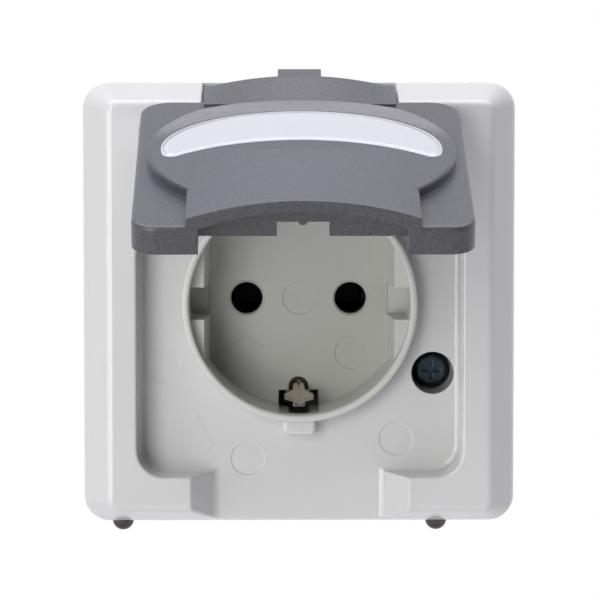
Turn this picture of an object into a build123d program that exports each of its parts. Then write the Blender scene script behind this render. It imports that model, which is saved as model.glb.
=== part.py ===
from build123d import *
import math
import os

# A splash-proof earthed socket outlet for a round wall box, with a hinged lid standing open.
# X is right, Z is up and the wall is the plane Y = 0, with the front of the object towards -Y.
# A length called "out" is measured from the wall towards the viewer, so out = -Y.

# Cover frame
FRAME_W = 77.9
FRAME_TOP = 39.5
FRAME_BOTTOM = -39.7
FRAME_OUT = 18.0
FRAME_BACK = 0.4
FRAME_CORNER = 4.6
FACE_CORNER = 1.7
INNER_CORNER = 0.5
SIDE_STRAIGHT = 8.0
SIDE_RUN = 4.75
END_RUN = 3.1
FACE_EDGE_R = 1.4
BREAK_R = 8.0
WALL = 2.0

# Recess for the lid, finger notch below it
RECESS_HALF_W = 29.1
RECESS_SILL = 9.03
RECESS_DEPTH = 7.5
RECESS_CORNER = 5.0
RECESS_DRAFT = 3.0
RECESS_FILLET = 0.8
RECESS_EDGE_R = 0.4
NOTCH_HALF_FLOOR = 15.1
NOTCH_SIDE_RUN = 4.35
NOTCH_FILLET = 1.5
NOTCH_LIP_R = 1.2
EJECTOR_R = 3.0
EJECTOR_DEPTH = 0.1
FRAME_EJECTORS = ((-9.3, -28.1), (17.4, -24.5), (-24.5, -11.3))

# Hinge, placed from the top and the face of the frame
HINGE_DOWN = 5.3
HINGE_SETBACK = 5.5
HINGE_LAND_R = 5.9
PIN_R = 1.25
PIN_CLEAR = 0.05
PIN_SEAT = 3.2
KNUCKLE_HALF_W = 16.9
KNUCKLE_R = 3.3
KNUCKLE_SIDE_GAP = 0.4
POCKET_DEPTH = 6.0
EAR_W = 5.0
SPRING_T = 0.3
SPRING_HALF_W = 5.0
SPRING_GAP = 0.15

# Lid, given closed and then turned open
LID_OPEN_ANGLE = 70.5
LID_SETBACK = 1.0
LID_SIDE_GAP = 1.2
LID_END_GAP = 0.67
LID_FAR_GAP = 0.3
LID_SKIRT = 4.8
LID_WALL = 1.9
LID_FAR_CORNER = 5.2
LID_FREE_CORNER = 4.0
LID_EDGE_R = 0.8
DISC_MARGIN = 1.9
DISC_RISE = 1.9
DISC_EDGE_R = 0.5
DISC_SLOPE_W = 8.1
DISC_SLOPE_DROP = 0.9
BAND_HALF_W = 19.0
BAND_EDGE_RISE = 1.4
BAND_CROWN_RISE = 4.5
LEAST_BOW = 0.02
KNUCKLE_CROWN_RISE = 2.7
KNUCKLE_FRONT_RISE = 0.4
KNUCKLE_TAIL = 1.8
KNUCKLE_REAR_R = 1.5
FINGER_SIDE_WALL = 1.95
FINGER_WALL_SEAL_GAP = 0.15
FINGER_WALL_T = 1.2
FINGER_WALL_LIFT = 0.3
CATCH_CUT_W = 8.6
CATCH_CUT_H = 2.8
NUB_R = 0.8
NUB_SINK = 0.2
STOP_TAB_W = 7.7
STOP_TAB_LENGTH = 3.0
STOP_TAB_T = 1.8
STOP_TAB_DROP = 0.65

# Label window in the lid
WINDOW_SIDE_MARGIN = 2.4
WINDOW_SLOPE_MARGIN = 0.3
WINDOW_LOW_MID = 4.2
WINDOW_LOW_R = 33.0
WINDOW_TIP_R = 1.4
WINDOW_PROUD = 0.2
WINDOW_POCKET = 1.3
WINDOW_GAP = 0.05
WINDOW_BEVEL_W = 0.9
WINDOW_BEVEL_H = 0.4
CARD_T = 0.3
CARD_MARGIN = 0.1

# Lid seal
SEAL_W = 2.2
SEAL_ROOM = 2.55
SEAL_RIM_GAP = 0.3

# Socket collar and well
WELL_R = 19.8
WELL_FLOOR = -2.5
COLLAR_WALL = 1.3
COLLAR_SETBACK = 3.0
COLLAR_CLEAR = 0.05
COLLAR_LIP_R = 0.5
GUIDE_DROP = 3.6
GUIDE_TOP_INSET = 2.7
GUIDE_FLOOR_INSET = 3.6
GUIDE_SLOT_HALF = 2.9
EARTH_WALL_HALF_W = 3.6
EARTH_WALL_DEPTH = 0.7
EARTH_WALL_DROP = 3.5
EARTH_ARCH_R = 1.8
EARTH_ARCH_INSET = 5.3
EARTH_WIDE_INSET = 2.8
CATCH_TAB_W = 5.8
CATCH_TAB_L = 2.2
CATCH_TAB_DROP = 0.9
CATCH_TAB_CORNER = 0.8
CATCH_TAB_EDGE_R = 0.6
COLLAR_SEAL_W = 0.8
COLLAR_SEAL_T = 1.5

# Contact face, pin entries
FACE_T = 2.5
FACE_CLEAR = 0.05
FACE_RIM = 0.12
FACE_EJECTORS = ((0.1, 0), (-9.3, -10.3), (9.7, -10.1))
PIN_PITCH = 19.0
PIN_ENTRY_R = 2.9
PIN_ENTRY_LIP = 0.35

# Contact base behind the wall plane
BASE_WALL = 3.7
BASE_FLAT_WALL = 0.7
BASE_BACK = -26.0
BASE_FLOOR_T = 3.0
COLLAR_SEAT = -8.0
REAR_COVER_T = 2.0
REAR_SCREW_INSET = 5.5
REAR_SCREW_Z = 5.0
REAR_SCREW_R = 1.2
REAR_HEAD_R = 2.2
REAR_HEAD_H = 1.3
REAR_SCREW_DEPTH = 7.0
WIRE_FUNNEL = 0.7
LINE_ROOM_W = 10.4
LINE_ROOM_LOW = -5.0
LINE_ROOM_HIGH = 13.2
EARTH_ROOM_HALF_W = 2.7
EARTH_POST_ROOM_HALF_W = 4.6
EARTH_POST_ROOM_LOW = -16.4
EARTH_POST_ROOM_HIGH = -7.4
ROOM_GAP = 0.3

# Brass contacts and terminals
CLIP_T = 0.7
CLIP_GAP = 4.7
CLIP_W = 6.0
CLIP_FLARE = 0.7
CLIP_FLARE_L = 1.6
POST_W = 8.0
POST_DEPTH = 9.5
POST_LOW = 5.4
POST_HIGH = 12.0
WIRE_HOLE_R = 1.9
TERMINAL_SCREW_R = 1.7
TERMINAL_HEAD_R = 3.0
TERMINAL_HEAD_H = 2.0
DRIVER_HOLE_R = 3.3
DRIVER_SLOT_W = 0.9
DRIVER_SLOT_D = 0.9
EARTH_STRIP_T = 0.8
EARTH_STRIP_W = 4.6
EARTH_ARM_INSET = 2.4
EARTH_NOSE_INSET = 4.6
EARTH_NOSE_W = 2.15
EARTH_TIP_OUT = 8.0
EARTH_WING_W = 5.3
EARTH_WING_BACK = 2.0
EARTH_WING_MID = 4.0
EARTH_WING_FRONT = 5.6
EARTH_WING_BLUNT = 0.6
EARTH_CREASE_W = 0.4
EARTH_CREASE_D = 0.25

# Support ring, rivets
RING_CORNER_CUT = 12.0
RING_T = 1.0
BOX_SCREW_PITCH = 60.0
BOX_SLOT_R = 1.8
BOX_SLOT_L = 7.0
RIVET_R = 1.0
RIVET_HEAD_R = 1.7
RIVET_HEAD_T = 0.5
RIVET_DEPTH = 6.0

# Seal plate, wall gasket
COVER_GAP = 0.25
GASKET_T = 1.5
GASKET_W = 1.8
GASKET_GAP = 0.4
PLATE_T = 1.8
PLATE_HOLE_GAP = 1.0
PLATE_SLOT_RIM = 2.6
PLATE_SLOT_HALF_H = 5.0
PLATE_LIP_T = 1.2
PLATE_LIP_OUT = 7.0
LOCK_BOSS_W = 6.0
LOCK_BOSS_OUT = 9.4
LOCK_BOSS_LENGTH = 3.4

# Screws
COVER_SCREW_ANGLE = 27.7
COVER_SCREW_BASE_GAP = 0.76
COVER_BORE_R = 3.82
COVER_BOSS_WALL = 1.2
COVER_BOSS_FLOOR = 2.2
COVER_SCREW_R = 1.5
COVER_HEAD_R = 2.8
COVER_HEAD_H = 2.0
COVER_SCREW_TIP = -6.0
WASHER_R = 3.5
WASHER_T = 0.6
CROSS_W = 0.8
CROSS_L = 3.4
CROSS_D = 1.1
LOCK_INSET_LEFT = 7.0
LOCK_INSET_RIGHT = 14.07
LOCK_SCREW_OUT = 5.8
LOCK_SCREW_R = 1.4
LOCK_HEAD_R = 1.95
LOCK_HEAD_H = 1.9
SCREW_HOLE_CLEAR = 0.15

# Cutters run this far past a face, and edges are found within this distance of a plane
OVERRUN = 1.0
NEAR = 0.01

# Worked out from the sizes above
OUTWARD = (0, -1, 0)
FRAME_H = FRAME_TOP - FRAME_BOTTOM
FRAME_MID_Z = (FRAME_TOP + FRAME_BOTTOM) / 2
FACE_BAND = FRAME_W / 2 - SIDE_RUN - RECESS_HALF_W
FACE_EDGE = min(FACE_EDGE_R, FACE_BAND / 3)
RECESS_EDGE = min(RECESS_EDGE_R, FACE_BAND / 4)
RECESS_BOTTOM = FRAME_BOTTOM + RECESS_SILL
RECESS_FLOOR = FRAME_OUT - RECESS_DEPTH
NOTCH_HALF_FRONT = NOTCH_HALF_FLOOR + NOTCH_SIDE_RUN
HINGE_Z = FRAME_TOP - HINGE_DOWN
HINGE_OUT = FRAME_OUT - HINGE_SETBACK
HINGE_AXIS = Axis((0, -HINGE_OUT, HINGE_Z), (-1, 0, 0))
RECESS_TOP = HINGE_Z - HINGE_LAND_R
POCKET_BACK = HINGE_OUT - POCKET_DEPTH
POCKET_HALF_W = KNUCKLE_HALF_W + KNUCKLE_SIDE_GAP
PIN_HALF_LENGTH = POCKET_HALF_W + PIN_SEAT
KNUCKLE_REAR = HINGE_Z + KNUCKLE_TAIL
LID_OUT = FRAME_OUT - LID_SETBACK
LID_BACK = LID_OUT - LID_SKIRT
LID_HALF_W = RECESS_HALF_W - LID_SIDE_GAP
LID_FREE = RECESS_BOTTOM + LID_END_GAP
LID_FAR = RECESS_TOP - LID_FAR_GAP
DISC_R = min(LID_HALF_W, LID_FAR) - DISC_MARGIN
DISC_OUT = LID_OUT + DISC_RISE
DISC_UNDER = DISC_OUT - LID_WALL
DISC_SLOPE_START = DISC_R - DISC_SLOPE_W
WINDOW_TOP_A = DISC_R - WINDOW_SIDE_MARGIN
WINDOW_TOP_B = DISC_SLOPE_START - WINDOW_SLOPE_MARGIN
FINGER_HALF_W = BAND_HALF_W - FINGER_SIDE_WALL
COLLAR_R = WELL_R + COLLAR_WALL
COLLAR_OUT = FRAME_OUT - COLLAR_SETBACK
SEAL_MID_R = (WELL_R + COLLAR_R) / 2
SEAL_OUTER_R = SEAL_MID_R + SEAL_W / 2
LID_HOLLOW_R = SEAL_OUTER_R + SEAL_ROOM
FINGER_WALL_Z = -SEAL_OUTER_R - FINGER_WALL_SEAL_GAP - FINGER_WALL_T
GUIDE_TOP = COLLAR_OUT - GUIDE_DROP
GUIDE_CHORD_TOP = WELL_R - GUIDE_TOP_INSET
GUIDE_CHORD_FLOOR = WELL_R - GUIDE_FLOOR_INSET
EARTH_WALL_TOP = COLLAR_OUT - EARTH_WALL_DROP
EARTH_ARCH_END = WELL_R - EARTH_ARCH_INSET
EARTH_WIDE_START = WELL_R - EARTH_WIDE_INSET
EARTH_ARM_OFFSET = WELL_R - EARTH_ARM_INSET
EARTH_NOSE_OFFSET = WELL_R - EARTH_NOSE_INSET
EARTH_ROOM_END = EARTH_ARM_OFFSET + EARTH_STRIP_T + 2 * ROOM_GAP
CATCH_TAB_OUT = COLLAR_OUT - CATCH_TAB_DROP
FACE_BACK = WELL_FLOOR - FACE_T
PIN_ENTRIES = (-PIN_PITCH / 2, PIN_PITCH / 2)
COLLAR_ROOM_R = COLLAR_R + COLLAR_CLEAR
BASE_R = COLLAR_ROOM_R + BASE_WALL
BASE_HALF_H = COLLAR_ROOM_R + BASE_FLAT_WALL
BASE_FLOOR_BACK = COLLAR_SEAT - BASE_FLOOR_T
REAR_SCREW_X = BASE_R - REAR_SCREW_INSET
REAR_SCREWS = [(-REAR_SCREW_X, REAR_SCREW_Z), (REAR_SCREW_X, REAR_SCREW_Z)]
RIVET_OFFSET = (COLLAR_ROOM_R + BASE_R) / 2
RIVETS = [(-RIVET_OFFSET, 0), (RIVET_OFFSET, 0)]
COVER_SCREW_CIRCLE = BASE_R + COVER_SCREW_R + COVER_SCREW_BASE_GAP
COVER_SCREW_X = COVER_SCREW_CIRCLE * math.cos(math.radians(COVER_SCREW_ANGLE))
COVER_SCREW_Z = COVER_SCREW_CIRCLE * math.sin(math.radians(COVER_SCREW_ANGLE))
COVER_SCREWS = [(COVER_SCREW_X, -COVER_SCREW_Z), (-COVER_SCREW_X, COVER_SCREW_Z)]
PLATE_BACK = GASKET_T
PLATE_OUT = PLATE_BACK + PLATE_T
PLATE_INSET = WALL + COVER_GAP
PLATE_HOLE_R = BASE_R + PLATE_HOLE_GAP
PLATE_SLOT_HALF_W = FRAME_W / 2 - PLATE_INSET - PLATE_SLOT_RIM
RING_INSET = PLATE_INSET + GASKET_W + GASKET_GAP
RING_HALF_W = FRAME_W / 2 - RING_INSET
RING_HALF_H = min(FRAME_TOP, -FRAME_BOTTOM) - RING_INSET
LOCK_SCREW_X = (LOCK_INSET_LEFT - FRAME_W / 2, FRAME_W / 2 - LOCK_INSET_RIGHT)

# Sketch planes: ZU holds (Z, out) with +X as its normal, XU holds (X, out) with -Z as its normal
ZU = Plane(origin=(0, 0, 0), x_dir=(0, 0, 1), z_dir=(1, 0, 0))
XU = Plane(origin=(0, 0, 0), x_dir=(1, 0, 0), z_dir=(0, 0, -1))


def facing(out):
    """Sketch plane parallel to the wall, in (X, Z), at a given distance out."""
    return Plane.XZ.offset(out)


def prism(sketch, back, front):
    return extrude(facing(back) * sketch, amount=front - back, dir=OUTWARD)


def block(x0, x1, z0, z1, back, front):
    sketch = Pos((x0 + x1) / 2, (z0 + z1) / 2) * Rectangle(x1 - x0, z1 - z0)
    return prism(sketch, back, front)


def rod(x, z, radius, back, front):
    return prism(Pos(x, z) * Circle(radius), back, front)


def across(profile, half_width):
    """A (Z, out) profile swept sideways to both sides of the middle."""
    return extrude(ZU * profile, amount=half_width, both=True)


def along_z(profile, z0, z1):
    """An (X, out) profile swept up from z0 to z1."""
    return extrude(XU.offset(-z0) * profile, amount=z1 - z0, dir=(0, 0, 1))


def shape_of(*points):
    return make_face(Polyline(*points, close=True))


def side_lean(out):
    """Share of the side's lean that is reached at a distance out."""
    return max(0.0, (out - SIDE_STRAIGHT) / (FRAME_OUT - SIDE_STRAIGHT))


def frame_outline(inset, out):
    lean = side_lean(out)
    width = FRAME_W - 2 * inset - 2 * SIDE_RUN * lean
    height = FRAME_H - 2 * inset - 2 * END_RUN * lean
    corner = FRAME_CORNER + (FACE_CORNER - FRAME_CORNER) * lean - inset
    return Pos(0, FRAME_MID_Z) * RectangleRounded(width, height, max(corner, INNER_CORNER))


def frame_form(inset, back, front):
    """Straight skirt and leaning sides of the frame, moved in by an inset."""
    skirt = prism(frame_outline(inset, back), back, SIDE_STRAIGHT)
    low = facing(SIDE_STRAIGHT) * frame_outline(inset, SIDE_STRAIGHT)
    high = facing(front) * frame_outline(inset, front)
    return skirt + loft([low, high], ruled=True)


def recess_outline(out, grow):
    flare = (out - FRAME_OUT) * math.tan(math.radians(RECESS_DRAFT)) + grow
    half_w = RECESS_HALF_W + flare
    low = RECESS_BOTTOM - flare
    high = RECESS_TOP + grow
    outline = Pos(0, (low + high) / 2) * Rectangle(2 * half_w, high - low)
    return fillet(outline.vertices().group_by(Axis.Y)[0], RECESS_CORNER + flare)


def recess_form(grow, front):
    """The drafted tub of the recess, or the same tub grown by a wall."""
    floor = RECESS_FLOOR - grow
    low = facing(floor) * recess_outline(floor, grow)
    high = facing(front) * recess_outline(front, grow)
    tub = loft([low, high], ruled=True)
    floor_edges = tub.faces().sort_by(Axis.Y)[-1].edges()
    return fillet(floor_edges, RECESS_FILLET + grow)


def land_relief(front):
    """Room in front of the rounded land that the lid's far edge swings round."""
    room = block(-RECESS_HALF_W, RECESS_HALF_W, RECESS_TOP, HINGE_Z, HINGE_OUT, front)
    return room - across(Pos(HINGE_Z, HINGE_OUT) * Circle(HINGE_LAND_R), FRAME_W)


def notch_profile(grow, front):
    """(X, out) trapezoid of the finger notch, moved out by a wall."""
    floor = RECESS_FLOOR - grow
    slope = (NOTCH_HALF_FRONT - NOTCH_HALF_FLOOR) / (FRAME_OUT - RECESS_FLOOR)
    half_floor = NOTCH_HALF_FLOOR + grow * (math.hypot(1, slope) - slope)
    half_front = half_floor + slope * (front - floor)
    low = [(-half_floor, floor), (half_floor, floor)]
    high = [(half_front, front), (-half_front, front)]
    profile = shape_of(*low, *high)
    return fillet(profile.vertices().group_by(Axis.Y)[0], NOTCH_FILLET + grow)


def notch_form(grow, front):
    """Finger notch, open to the front and through the lower edge."""
    return along_z(notch_profile(grow, front), FRAME_BOTTOM - WALL, RECESS_BOTTOM + RECESS_FILLET + WALL)


def notch_flare(front):
    """Rounded mouth of the notch at the lower edge."""
    sections = []
    for turn in (0, 30, 60, 90):
        angle = math.radians(turn)
        grow = NOTCH_LIP_R * (1 - math.cos(angle))
        height = FRAME_BOTTOM + NOTCH_LIP_R * (1 - math.sin(angle))
        sections.append(XU.offset(-height) * notch_profile(grow, front))
    return loft(sections)


def pocket_form(grow, front):
    """Pocket that the lid's knuckle turns in, open through the top."""
    half_w = POCKET_HALF_W + grow
    return block(-half_w, half_w, RECESS_TOP - grow, FRAME_TOP + WALL, POCKET_BACK - grow, front)


def edges_at(shape, out):
    return shape.edges().filter_by_position(Axis.Y, -out - NEAR, -out + NEAR)


def circles_at(shape, out, radius):
    round_edges = edges_at(shape, out).filter_by(GeomType.CIRCLE)
    return round_edges.filter_by(lambda edge: abs(edge.radius - radius) < NEAR)


def recess_rim(frame):
    """Edges of the recess, land and notch in the front face."""
    reach = FRAME_H / 2 - END_RUN - FACE_EDGE

    def inside(edge):
        spot = edge.center()
        return abs(spot.X) < RECESS_HALF_W + NEAR and abs(spot.Z - FRAME_MID_Z) < reach

    return edges_at(frame, FRAME_OUT).filter_by(inside)


def cover_frame():
    above = FRAME_OUT + OVERRUN
    outer = frame_form(0, FRAME_BACK, FRAME_OUT)
    outer = fillet(edges_at(outer, SIDE_STRAIGHT), BREAK_R)
    outer = fillet(edges_at(outer, FRAME_OUT), FACE_EDGE)
    room = frame_form(WALL, FRAME_BACK - OVERRUN, FRAME_OUT - WALL)
    room -= recess_form(WALL, FRAME_OUT)
    room -= notch_form(WALL, FRAME_OUT)
    room -= pocket_form(WALL, FRAME_OUT)
    for side in (-1, 1):
        ear = Pos(side * (POCKET_HALF_W + EAR_W / 2), (RECESS_TOP + FRAME_TOP) / 2)
        ear_plan = ear * Rectangle(EAR_W, FRAME_TOP - RECESS_TOP)
        room -= prism(ear_plan, POCKET_BACK, FRAME_OUT)
    for x, z in COVER_SCREWS:
        room -= rod(x, z, COVER_BORE_R + COVER_BOSS_WALL, RING_T, FRAME_OUT)
    frame = outer - room
    frame -= recess_form(0, above) + land_relief(above) + notch_form(0, above)
    frame -= pocket_form(0, above)
    frame = fillet(recess_rim(frame), RECESS_EDGE)
    frame -= notch_flare(above)
    frame -= rod(0, 0, COLLAR_ROOM_R, FRAME_BACK, above)
    for x, z in COVER_SCREWS:
        frame -= rod(x, z, COVER_BORE_R, COVER_BOSS_FLOOR, above)
        frame -= rod(x, z, COVER_SCREW_R + SCREW_HOLE_CLEAR, FRAME_BACK, COVER_BOSS_FLOOR)
    frame -= hinge_rod(PIN_R, PIN_HALF_LENGTH)
    lock_top = FRAME_BOTTOM + WALL + OVERRUN
    for x in LOCK_SCREW_X:
        frame -= lock_rod(x, LOCK_SCREW_R + SCREW_HOLE_CLEAR, FRAME_BOTTOM - OVERRUN, lock_top)
    for x, z in FRAME_EJECTORS:
        frame -= rod(x, z, EJECTOR_R, RECESS_FLOOR - EJECTOR_DEPTH, RECESS_FLOOR)
    return frame + catch_tab()


def catch_tab():
    """Rounded catch for the lid's nub, on the recess floor below the collar."""
    plan = Pos(0, -COLLAR_ROOM_R) * Rectangle(CATCH_TAB_W, 2 * CATCH_TAB_L)
    plan = fillet(plan.vertices().group_by(Axis.Y)[0], CATCH_TAB_CORNER)
    tab = prism(plan, RECESS_FLOOR - WALL, CATCH_TAB_OUT)
    tab = fillet(edges_at(tab, CATCH_TAB_OUT), CATCH_TAB_EDGE_R)
    return tab - rod(0, 0, COLLAR_ROOM_R, FRAME_BACK, FRAME_OUT)


def hinge_rod(radius, half_length):
    return across(Pos(HINGE_Z, HINGE_OUT) * Circle(radius), half_length)


def lock_rod(x, radius, z0, z1):
    return along_z(Pos(x, LOCK_SCREW_OUT) * Circle(radius), z0, z1)


def detent_spring():
    """Bowed leaf in the back of the hinge pocket that rubs on the lid's knuckle."""
    crest = HINGE_OUT - KNUCKLE_R - SPRING_GAP
    low = RECESS_TOP + SPRING_T
    high = FRAME_TOP - SPRING_T
    foot = POCKET_BACK + SPRING_T
    top = ThreePointArc((low, foot), (HINGE_Z, crest), (high, foot))
    under = ThreePointArc((low, POCKET_BACK), (HINGE_Z, crest - SPRING_T), (high, POCKET_BACK))
    ends = [Line((low, foot), (low, POCKET_BACK)), Line((high, foot), (high, POCKET_BACK))]
    return across(make_face(Curve() + [top, under] + ends), SPRING_HALF_W)


def arch_profile(half_w, base, edge_rise, crown_rise):
    """(X, out) section with a flat base and a bowed top."""
    left = (-half_w, LID_OUT + edge_rise)
    right = (half_w, LID_OUT + edge_rise)
    top = ThreePointArc(left, (0, LID_OUT + crown_rise), right)
    sides = Polyline(right, (half_w, base), (-half_w, base), left)
    return make_face(Curve() + [top, sides])


def arch_loft(half_w, base, z0, rises0, z1, rises1):
    """Bowed band from z0 to z1, with the rise of its edges and of its crown at either end."""
    near = XU.offset(-z0) * arch_profile(half_w, base, *rises0)
    far = XU.offset(-z1) * arch_profile(half_w, base, *rises1)
    return loft([near, far], ruled=True)


def band_rises(z, drop):
    """Rise of the band's edges and crown at a height z, lowered by a drop."""
    share = z / LID_FREE
    edge = DISC_RISE + (BAND_EDGE_RISE - DISC_RISE) * share - drop
    crown = DISC_RISE + (BAND_CROWN_RISE - DISC_RISE) * share - drop
    return edge, max(crown, edge + LEAST_BOW)


def finger_band(half_w, base, z0, z1, drop):
    return arch_loft(half_w, base, z0, band_rises(z0, drop), z1, band_rises(z1, drop))


def lid_outline(inset):
    low = LID_FREE + inset
    high = LID_FAR - inset
    outline = Pos(0, (low + high) / 2) * Rectangle(2 * (LID_HALF_W - inset), high - low)
    outline = fillet(outline.vertices().group_by(Axis.Y)[0], LID_FREE_CORNER - inset)
    return fillet(outline.vertices().group_by(Axis.Y)[-1], LID_FAR_CORNER - inset)


def lid_knuckle():
    """Crowned tail of the lid with the barrel that takes the hinge pin."""
    start = DISC_R - DISC_EDGE_R
    front_rises = (KNUCKLE_FRONT_RISE - LEAST_BOW, KNUCKLE_FRONT_RISE)
    rear_rises = (0, KNUCKLE_CROWN_RISE)
    tail = arch_loft(KNUCKLE_HALF_W, LID_OUT - LID_WALL, start, front_rises, KNUCKLE_REAR, rear_rises)
    rear_top = tail.faces().sort_by(Axis.Z)[-1].edges().sort_by(Axis.Y)[0]
    tail = fillet(rear_top, KNUCKLE_REAR_R)
    web = shape_of(
        (LID_FAR, LID_OUT),
        (LID_FAR, LID_OUT - LID_WALL),
        (HINGE_Z - KNUCKLE_R, HINGE_OUT),
        (HINGE_Z + KNUCKLE_R * math.sin(math.radians(60)), HINGE_OUT + KNUCKLE_R / 2),
        (KNUCKLE_REAR, LID_OUT),
    )
    barrel = Pos(HINGE_Z, HINGE_OUT) * Circle(KNUCKLE_R)
    return tail + across(web + barrel, KNUCKLE_HALF_W)


def lid_closed():
    plate = prism(lid_outline(0), LID_BACK, LID_OUT)
    plate = fillet(plate.faces().sort_by(Axis.Y)[0].edges(), LID_EDGE_R)
    disc = rod(0, 0, DISC_R, LID_OUT - LID_WALL, DISC_OUT)
    slope = shape_of(
        (DISC_SLOPE_START, DISC_OUT),
        (DISC_R, DISC_OUT - DISC_SLOPE_DROP),
        (DISC_R, DISC_OUT),
    )
    disc -= across(slope, DISC_R)
    disc = fillet(disc.edges().filter_by(GeomType.CIRCLE).sort_by(Axis.Y)[0], DISC_EDGE_R)
    band = finger_band(BAND_HALF_W, LID_BACK, LID_FREE, 0, 0)
    tab_z = KNUCKLE_REAR + STOP_TAB_LENGTH
    tab_out = LID_OUT + KNUCKLE_CROWN_RISE - STOP_TAB_DROP
    tab = block(-STOP_TAB_W / 2, STOP_TAB_W / 2, HINGE_Z, tab_z, tab_out - STOP_TAB_T, tab_out)
    shell = plate + disc + band + lid_knuckle() + tab
    finger_back = FINGER_WALL_Z + FINGER_WALL_T
    below = LID_BACK - OVERRUN
    finger_box = block(-BAND_HALF_W, BAND_HALF_W, LID_FREE - OVERRUN, finger_back, below, DISC_OUT)
    hollow = prism(lid_outline(LID_WALL), below, LID_OUT - LID_WALL)
    hollow += rod(0, 0, LID_HOLLOW_R, below, DISC_UNDER)
    shell -= hollow - finger_box
    shell -= finger_band(FINGER_HALF_W, below, LID_FREE - OVERRUN, FINGER_WALL_Z, LID_WALL)
    wall_low = LID_BACK + FINGER_WALL_LIFT
    shell -= block(-FINGER_HALF_W, FINGER_HALF_W, FINGER_WALL_Z, finger_back, below, wall_low)
    cut_top = LID_BACK + CATCH_CUT_H
    shell -= block(-CATCH_CUT_W / 2, CATCH_CUT_W / 2, FINGER_WALL_Z, finger_back, below, cut_top)
    shell += along_z(Pos(0, cut_top + NUB_SINK) * Circle(NUB_R), FINGER_WALL_Z, finger_back)
    shell -= hinge_rod(PIN_R + PIN_CLEAR, FRAME_W)
    return shell - prism(window_outline(0), DISC_OUT - WINDOW_POCKET, DISC_OUT + OVERRUN)


def window_outline(inset):
    """Crescent between an ellipse above and a wide arc below, which meet at two rounded tips."""
    a = WINDOW_TOP_A - inset
    b = WINDOW_TOP_B - inset
    low = WINDOW_LOW_MID + inset
    low_mid = low - WINDOW_LOW_R
    squash = (a / b) ** 2 - 1
    tip_z = -(math.sqrt(low_mid**2 + squash * (low_mid**2 + a**2 - WINDOW_LOW_R**2)) + low_mid) / squash
    tip_angle = math.degrees(math.asin(tip_z / b))
    over = EllipticalCenterArc((0, 0), a, b, tip_angle, arc_size=180 - 2 * tip_angle)
    under = ThreePointArc(over @ 1, (0, low), over @ 0)
    return fillet(make_face(Curve() + [over, under]).vertices(), WINDOW_TIP_R - inset / 2)


def label_window():
    """Clear lens with a wide sloping border."""
    back = DISC_OUT - WINDOW_POCKET + CARD_T + WINDOW_GAP
    front = DISC_OUT + WINDOW_PROUD
    shoulder = front - WINDOW_BEVEL_H
    low = facing(shoulder) * window_outline(WINDOW_GAP)
    high = facing(front) * window_outline(WINDOW_GAP + WINDOW_BEVEL_W)
    return prism(window_outline(WINDOW_GAP), back, shoulder) + loft([low, high], ruled=True)


def label_card():
    back = DISC_OUT - WINDOW_POCKET
    return prism(window_outline(CARD_MARGIN), back, back + CARD_T)


def lid_seal():
    band = Circle(SEAL_OUTER_R) - Circle(SEAL_OUTER_R - SEAL_W)
    return prism(band, COLLAR_OUT + SEAL_RIM_GAP, DISC_UNDER)


def opened(shape):
    return shape.rotate(HINGE_AXIS, LID_OPEN_ANGLE)


def socket_collar():
    tube = rod(0, 0, COLLAR_R, COLLAR_SEAT, COLLAR_OUT) - rod(0, 0, WELL_R, COLLAR_SEAT, COLLAR_OUT)
    tube = fillet(tube.faces().sort_by(Axis.Y)[0].edges(), COLLAR_LIP_R)
    slope = shape_of(
        (GUIDE_CHORD_FLOOR, COLLAR_SEAT),
        (GUIDE_CHORD_FLOOR, WELL_FLOOR),
        (GUIDE_CHORD_TOP, GUIDE_TOP),
        (COLLAR_R, GUIDE_TOP),
        (COLLAR_R, COLLAR_SEAT),
    )
    guides = along_z(slope, -WELL_R, WELL_R)
    guides += mirror(guides, Plane.YZ)
    guides &= rod(0, 0, (WELL_R + COLLAR_R) / 2, COLLAR_SEAT, GUIDE_TOP)
    guides -= block(-COLLAR_R, COLLAR_R, -GUIDE_SLOT_HALF, GUIDE_SLOT_HALF, WELL_FLOOR, GUIDE_TOP)
    groove = Circle(WELL_R + EARTH_WALL_DEPTH) & Rectangle(2 * EARTH_WALL_HALF_W, 2 * COLLAR_R)
    return tube + guides - prism(groove, COLLAR_SEAT, EARTH_WALL_TOP)


def earth_openings(clear):
    """Keyhole openings in the well floor for the two earth springs."""
    arch_mid = EARTH_ARCH_END + EARTH_ARCH_R
    arch = Pos(0, arch_mid) * Circle(EARTH_ARCH_R + clear)
    neck_h = COLLAR_R - arch_mid
    neck = Pos(0, arch_mid + neck_h / 2) * Rectangle(2 * (EARTH_ARCH_R + clear), neck_h)
    wide_h = COLLAR_R - EARTH_WIDE_START
    wide = Pos(0, EARTH_WIDE_START + wide_h / 2) * Rectangle(2 * (EARTH_WALL_HALF_W + clear), wide_h)
    upper = arch + neck + wide
    return upper + mirror(upper, Plane.XZ)


def floor_outline(clear):
    disc = Circle(WELL_R - clear) & Rectangle(2 * (GUIDE_CHORD_FLOOR - clear), 2 * WELL_R)
    disc -= earth_openings(0)
    for x in PIN_ENTRIES:
        disc -= Pos(x, 0) * Circle(PIN_ENTRY_R)
    return disc


def contact_face():
    face = prism(floor_outline(FACE_CLEAR), FACE_BACK, WELL_FLOOR)
    entries = circles_at(face, WELL_FLOOR, PIN_ENTRY_R)
    rim = [edge for edge in edges_at(face, WELL_FLOOR) if edge not in entries]
    face = chamfer(rim, FACE_RIM)
    face = chamfer(circles_at(face, WELL_FLOOR, PIN_ENTRY_R), PIN_ENTRY_LIP)
    for x, z in FACE_EJECTORS:
        face -= rod(x, z, EJECTOR_R, WELL_FLOOR - EJECTOR_DEPTH, WELL_FLOOR)
    return face


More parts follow.
